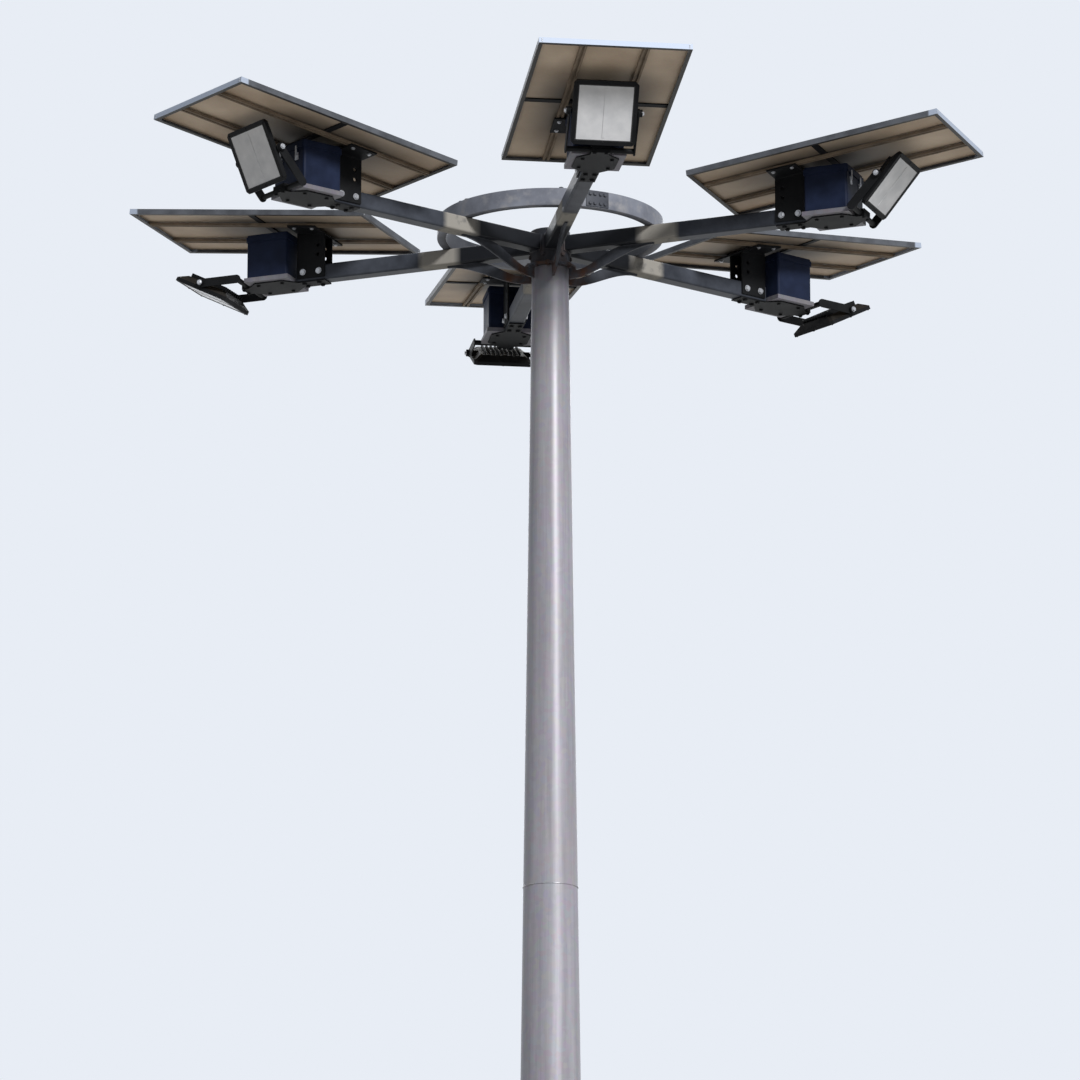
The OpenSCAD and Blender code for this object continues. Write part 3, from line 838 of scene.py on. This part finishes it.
# Cells under tempered glass: blue-black polycrystalline silicon with 18 mm crystal flakes, and the glass's
# clear, hard gloss over them.
silicon = new_material("polycrystalline_silicon")
at = add(silicon, "ShaderNodeTexCoord")
flakes = add(silicon, "ShaderNodeTexVoronoi", {"Scale": every(18)}, {"Vector": at.outputs["Object"]})
tone = add(silicon, "ShaderNodeValToRGB", {}, {"Fac": flakes.outputs["Color"]})
tone.color_ramp.elements[0].color = linear("#111a38")
tone.color_ramp.elements[1].color = linear("#26386a")
skin = add(
    silicon,
    "ShaderNodeBsdfPrincipled",
    {"Roughness": 0.5, "Specular IOR Level": 0.2, "Coat Weight": 0.6, "Coat Roughness": 0.08},
    {"Base Color": tone.outputs[0]},
)
add(silicon, "ShaderNodeOutputMaterial", {}, {"Surface": skin.outputs[0]})

# Dark film between the cells, under the same glass, with a little dust on top.
dark_film = new_material("dark_film_under_glass")
at = add(dark_film, "ShaderNodeTexCoord")
dust = add(
    dark_film, "ShaderNodeTexNoise", {"Scale": every(120), "Detail": 5.0}, {"Vector": at.outputs["Object"]}
)
tone = add(dark_film, "ShaderNodeValToRGB", {}, {"Fac": dust.outputs["Fac"]})
tone.color_ramp.elements[0].color = linear("#0b0d13")
tone.color_ramp.elements[1].color = linear("#272a31")
skin = add(
    dark_film,
    "ShaderNodeBsdfPrincipled",
    {"Roughness": 0.5, "Specular IOR Level": 0.2, "Coat Weight": 0.6, "Coat Roughness": 0.08},
    {"Base Color": tone.outputs[0]},
)
add(dark_film, "ShaderNodeOutputMaterial", {}, {"Surface": skin.outputs[0]})

GLASS_FACE, GLASS_INSET = PANEL_DEPTH - 2 * MM, 12 * MM
ROWS, COLUMNS = 9, 4
CELL_LENGTH, CELL_WIDTH = 126 * MM, 156 * MM
ROW_STEP, COLUMN_STEP = 129 * MM, 159 * MM
RIBBON_STEP = 52 * MM
sheets, cells, busbars = [], [], []
reach, wide = PANEL_LENGTH / 2 - GLASS_INSET, PANEL_WIDTH - 2 * GLASS_INSET
run = ROWS * ROW_STEP / 2
for k in HEADS:
    at = panel(k)
    sheets.append(strip(at, (-reach, 0), (reach, 0), wide, GLASS_FACE - 1 * MM, GLASS_FACE + 0.3 * MM))
    for column in range(COLUMNS):
        y = (column - (COLUMNS - 1) / 2) * COLUMN_STEP
        for row in range(ROWS):
            x = (row - (ROWS - 1) / 2) * ROW_STEP
            ends_of_cell = ((x - CELL_LENGTH / 2, y), (x + CELL_LENGTH / 2, y))
            cells.append(strip(at, *ends_of_cell, CELL_WIDTH, GLASS_FACE, GLASS_FACE + 0.6 * MM))
        for bar in (y - RIBBON_STEP, y, y + RIBBON_STEP):
            busbars.append(strip(at, (-run, bar), (run, bar), 2 * MM, GLASS_FACE, GLASS_FACE + 0.8 * MM))
piece("panel_glass_sheets", sheets, dark_film, "tower")
piece("solar_cells", cells, silicon, "tower")
piece("cell_busbars", busbars, zinc, "tower")

# Tray brackets and trays
# A black plate under each arm's end carries a shallow galvanised tray for the battery box, and ends in a
# split clamp whose two bolts grip the yoke's bar.
wear(black_coat, "tray_brackets")
# The trays stand above the brim, so the galvanised steel's painted shade darkens and dulls them in full.
wear(galvanised, "box_trays")
PLATE_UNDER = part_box("tray_brackets")[0][2] - ARM_MID
BAR_OUT = 1.5155
PLATE_BOLTS = (
    # Distance from the mast's axis, distance to the side, thread size: clamp, arm, arm, tray, tray
    (BAR_OUT + 16 * MM, 26 * MM, 8 * MM),
    (1.150, 20.8 * MM, 10 * MM),
    (1.225, 20.8 * MM, 10 * MM),
    (1.320, 65 * MM, 8 * MM),
    (1.440, 65 * MM, 8 * MM),
)
plate_bolts = []
for k in HEADS:
    for side in (-1, 1):
        for along, aside, size in PLATE_BOLTS:
            plate_bolts += bolt(head(k) @ shift(along, side * aside, PLATE_UNDER) @ facing(0, 0, -1), size)
piece("bracket_plate_bolts", plate_bolts, black_coat, "tower")

# Battery boxes
# Folded sheet steel cases, powder coated near black with a navy blue that is a painted reflection of the sky,
# sit in the trays. Two spring latches on the outer side hold each drop-on lid.
sky_tinted_coat = powder("sky_tinted_powder_coat", "#141d33", "#5b5349", 0.5)
wear(sky_tinted_coat, *[f"battery_box_{k}" for k in HEADS])
BOX_LOW, BOX_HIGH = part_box("battery_box_1")
LID_OVERHANG, LID_TALL, LATCH_SIDE = 5 * MM, 34 * MM, 60 * MM
BOX_WALL = -BOX_LOW[1] - LID_OVERHANG
LID_FOOT = BOX_HIGH[2] - ARM_MID - LID_TALL
LATCH_LOW, LATCH_HIGH, LATCH_WIDE, LATCH_THICK = -52 * MM, -18 * MM, 22 * MM, 4 * MM
HOOK_LOW, HOOK_HIGH, HOOK_WIDE = -30 * MM, 14 * MM, 10 * MM
RIVET_SIDE, RIVET_HEIGHTS = 7 * MM, (-46 * MM, -24 * MM)
RIVET_DOME = [(3 * MM, 4 * MM), (2.6 * MM, 5.4 * MM), (1 * MM, 6 * MM)]
latches = []
for k in HEADS:
    for side in (-LATCH_SIDE, LATCH_SIDE):
        wall = head(k) @ shift(BOX_WALL, side, LID_FOOT) @ facing(1, 0, 0)
        latches.append(strip(wall, (0, LATCH_LOW), (0, LATCH_HIGH), LATCH_WIDE, 0, LATCH_THICK))
        latches.append(strip(wall, (0, HOOK_LOW), (0, HOOK_HIGH), HOOK_WIDE, LATCH_THICK, 2 * LATCH_THICK))
        for y in RIVET_HEIGHTS:
            latches.append(turned(wall @ shift(RIVET_SIDE, y, 0), RIVET_DOME, 10))
piece("box_latches", latches, zinc, "tower")

# Yokes
# Flat bar legs welded to a round bar, black coated, hold each floodlight by its pivot pins. The bar lies in
# the tray bracket's clamp, which sets the yoke's angle.
wear(black_coat, "lamp_yokes")

# Floodlights
# Die cast bodies with cooling fins, coated black. A rubber gasket seals the glass under the bezel, eight
# screws hold the bezel, and zinc plated bolts clamp the pivots.
lamp_coat = powder("black_coated_casting", "#0b0c0e", "#564f46", 0.55)
wear(lamp_coat, *[f"lamp_{k}" for k in HEADS])

# Rubber gasket: dead matt black with a slight bloom.
rubber = new_material("black_rubber")
at = add(rubber, "ShaderNodeTexCoord")
bloom = add(
    rubber, "ShaderNodeTexNoise", {"Scale": every(12), "Detail": 3.0}, {"Vector": at.outputs["Object"]}
)
tone = add(rubber, "ShaderNodeValToRGB", {}, {"Fac": bloom.outputs["Fac"]})
tone.color_ramp.elements[0].color = linear("#0c0c0d")
tone.color_ramp.elements[1].color = linear("#242425")
skin = add(rubber, "ShaderNodeBsdfPrincipled", {"Roughness": 0.85}, {"Base Color": tone.outputs[0]})
add(rubber, "ShaderNodeOutputMaterial", {}, {"Surface": skin.outputs[0]})

LAMP_SIDE, GLASS_SIDE, LAMP_FRONT = 285 * MM, 245 * MM, 31 * MM
KNOB_END = 167.5 * MM
CORNER_PULL = 0.96
BEZEL_DOME = [(4.5 * MM, 0), (4.2 * MM, 1.4 * MM), (2.6 * MM, 2.6 * MM), (0.8 * MM, 3 * MM)]
DIPS = (30, 40, 63, 63, 63, 25)
hinges = {joint["name"]: joint for joint in frame["record"]["behaviour"]["joints"]}


def lamp(k):
    """Frame of floodlight k: x out of its glass, y along its pivot, z up its front, origin on the pivot."""
    pivot = Matrix.Translation(hinges[f"lamp_tilt_{k}"]["pos_m"])
    turn = Matrix.Rotation(math.radians(60 * (k - 1) - 90), 4, "Z")
    return pivot @ turn @ Matrix.Rotation(math.radians(DIPS[k - 1]), 4, "Y")


for k in HEADS:
    front = lamp(k) @ shift(LAMP_FRONT, 0, 0) @ facing(1, 0, 0)
    edge = GLASS_SIDE / 2
    seal = []
    corners = [(-edge, -edge), (edge, -edge), (edge, edge), (-edge, edge)]
    for a, b in zip(corners, corners[1:] + corners[:1]):
        seal.append(strip(front, a, b, 5 * MM, -1.2 * MM, 0.6 * MM))
    piece(f"glass_gasket_{k}", seal, rubber, f"floodlight_{k}")
    screws, fixings = [], []
    rim = (GLASS_SIDE + LAMP_SIDE) / 4
    for x in (-1, 0, 1):
        for y in (-1, 0, 1):
            if x or y:
                pull = CORNER_PULL if x and y else 1.0
                screws.append(turned(front @ shift(x * rim * pull, y * rim * pull, 0), BEZEL_DOME, 14))
    for side in (-1, 1):
        fixings += bolt(lamp(k) @ shift(0, side * KNOB_END, 0) @ facing(0, side, 0), 10 * MM)
    piece(f"bezel_screws_{k}", screws, lamp_coat, f"floodlight_{k}")
    piece(f"pivot_bolts_{k}", fixings, zinc, f"floodlight_{k}")

# Diffuser glass
# Tempered, acid etched panes pressed with a flat rib up the middle. Each lies in its casting's recess, with
# the rubber gasket round its edge.

# Acid etched glass: pale grey, milky and soft, cloudy over some 70 mm, with a fine etched grain that is
# drawn at 5 mm, coarser than the real one, to show.
etched = new_material("acid_etched_glass")
at = add(etched, "ShaderNodeTexCoord")
milk = add(
    etched, "ShaderNodeTexNoise", {"Scale": every(70), "Detail": 4.0}, {"Vector": at.outputs["Object"]}
)
tone = add(etched, "ShaderNodeValToRGB", {}, {"Fac": milk.outputs["Fac"]})
tone.color_ramp.elements[0].position = 0.3
tone.color_ramp.elements[0].color = linear("#c6c7ca")
tone.color_ramp.elements[1].position = 0.7
tone.color_ramp.elements[1].color = linear("#dedee0")
etch = add(
    etched, "ShaderNodeTexNoise", {"Scale": every(5), "Detail": 2.0}, {"Vector": at.outputs["Object"]}
)
relief = add(
    etched, "ShaderNodeBump", {"Strength": 0.1, "Distance": 0.3 * MM}, {"Height": etch.outputs["Fac"]}
)
skin = add(
    etched,
    "ShaderNodeBsdfPrincipled",
    {"Roughness": 0.3, "IOR": 1.5, "Coat Weight": 0.2, "Coat Roughness": 0.15},
    {"Base Color": tone.outputs[0], "Normal": relief.outputs[0]},
)
add(etched, "ShaderNodeOutputMaterial", {}, {"Surface": skin.outputs[0]})
wear(etched, *[f"lamp_glass_{k}" for k in HEADS])

# Floor, light and camera
# A plain pale floor under soft daylight from behind the camera's right shoulder, with a weaker light from
# behind. The camera stands at eye height about 27 m away and looks up at the ring, as the photograph does.
bpy.context.scene.view_settings.view_transform = "Standard"
FLOOR = 500.0
floor_mesh = bpy.data.meshes.new("floor")
floor_mesh.from_pydata(
    [(-FLOOR, -FLOOR, 0), (FLOOR, -FLOOR, 0), (FLOOR, FLOOR, 0), (-FLOOR, FLOOR, 0)], [], [[0, 1, 2, 3]]
)
floor = bpy.data.objects.new("floor", floor_mesh)
bpy.context.scene.collection.objects.link(floor)

# Pale screed: dead matt, near white to the eye, and greyer in the light that it throws back up.
pale = new_material("pale_screed")
rays = add(pale, "ShaderNodeLightPath")
shown = add(
    pale,
    "ShaderNodeMath",
    {"operation": "MAXIMUM"},
    {0: rays.outputs["Is Camera Ray"], 1: rays.outputs["Is Glossy Ray"]},
)
seen = add(
    pale,
    "ShaderNodeMath",
    {"operation": "MAXIMUM"},
    {0: shown.outputs[0], 1: rays.outputs["Is Transmission Ray"]},
)
floor_tone = add(
    pale,
    "ShaderNodeMix",
    {"data_type": "RGBA", 6: linear("#a09e99"), 7: linear("#f2f2f0")},
    {0: seen.outputs[0]},
)
skin = add(pale, "ShaderNodeBsdfPrincipled", {"Roughness": 0.9}, {"Base Color": floor_tone.outputs[2]})
add(pale, "ShaderNodeOutputMaterial", {}, {"Surface": skin.outputs[0]})
floor_mesh.materials.append(pale)

# Studio air: a weak, even fill, with a pale backdrop behind what the camera, gloss and glass see.
sky = bpy.data.worlds.new("pale_studio")
sky.use_nodes = True
sky.node_tree.nodes.clear()
bpy.context.scene.world = sky
rays = add(sky, "ShaderNodeLightPath")
shown = add(
    sky,
    "ShaderNodeMath",
    {"operation": "MAXIMUM"},
    {0: rays.outputs["Is Camera Ray"], 1: rays.outputs["Is Glossy Ray"]},
)
seen = add(
    sky,
    "ShaderNodeMath",
    {"operation": "MAXIMUM"},
    {0: shown.outputs[0], 1: rays.outputs["Is Transmission Ray"]},
)
fill = add(sky, "ShaderNodeBackground", {"Color": linear("#dfe7f4"), "Strength": 0.21})
backdrop = add(sky, "ShaderNodeBackground", {"Color": linear("#e8edf5"), "Strength": 1.0})
both = add(sky, "ShaderNodeMixShader", {}, {0: seen.outputs[0], 1: fill.outputs[0], 2: backdrop.outputs[0]})
add(sky, "ShaderNodeOutputWorld", {}, {"Surface": both.outputs[0]})

TURN = math.radians(8.22)
SUN_SIDE, SUN_UP = math.radians(29), math.radians(27)
BACK_SIDE, BACK_UP = math.radians(180), math.radians(30)
SUN_POWER, SUN_WIDTH = 3.2, math.radians(12)
BACK_POWER, BACK_WIDTH = 1.5, math.radians(40)
for name, side, up, power, width in (
    ("soft_sun", SUN_SIDE, SUN_UP, SUN_POWER, SUN_WIDTH),
    ("soft_back_light", BACK_SIDE, BACK_UP, BACK_POWER, BACK_WIDTH),
):
    lamp_light = bpy.data.lights.new(name, "SUN")
    lamp_light.energy = power
    lamp_light.angle = width
    light = bpy.data.objects.new(name, lamp_light)
    bpy.context.scene.collection.objects.link(light)
    toward = math.pi / 2 - TURN + side
    ray = Vector((math.cos(toward) * math.cos(up), math.sin(toward) * math.cos(up), -math.sin(up)))
    light.rotation_euler = ray.to_track_quat("-Z", "Y").to_euler()

IMAGE, FOCAL_PIXELS, SENSOR = 1080, 6144, 36.0
DISTANCE, EYE = 27.0, 1.62
PITCH, YAW = math.radians(14.51), math.radians(0.10)
lens = bpy.data.cameras.new("camera")
lens.sensor_width = SENSOR
lens.lens = SENSOR * FOCAL_PIXELS / IMAGE
lens.clip_end = 2000.0
camera = bpy.data.objects.new("camera", lens)
bpy.context.scene.collection.objects.link(camera)
camera.location = (-DISTANCE * math.sin(TURN), -DISTANCE * math.cos(TURN), EYE)
camera.rotation_euler = (math.pi / 2 + PITCH, 0, -TURN + YAW)
bpy.context.scene.camera = camera
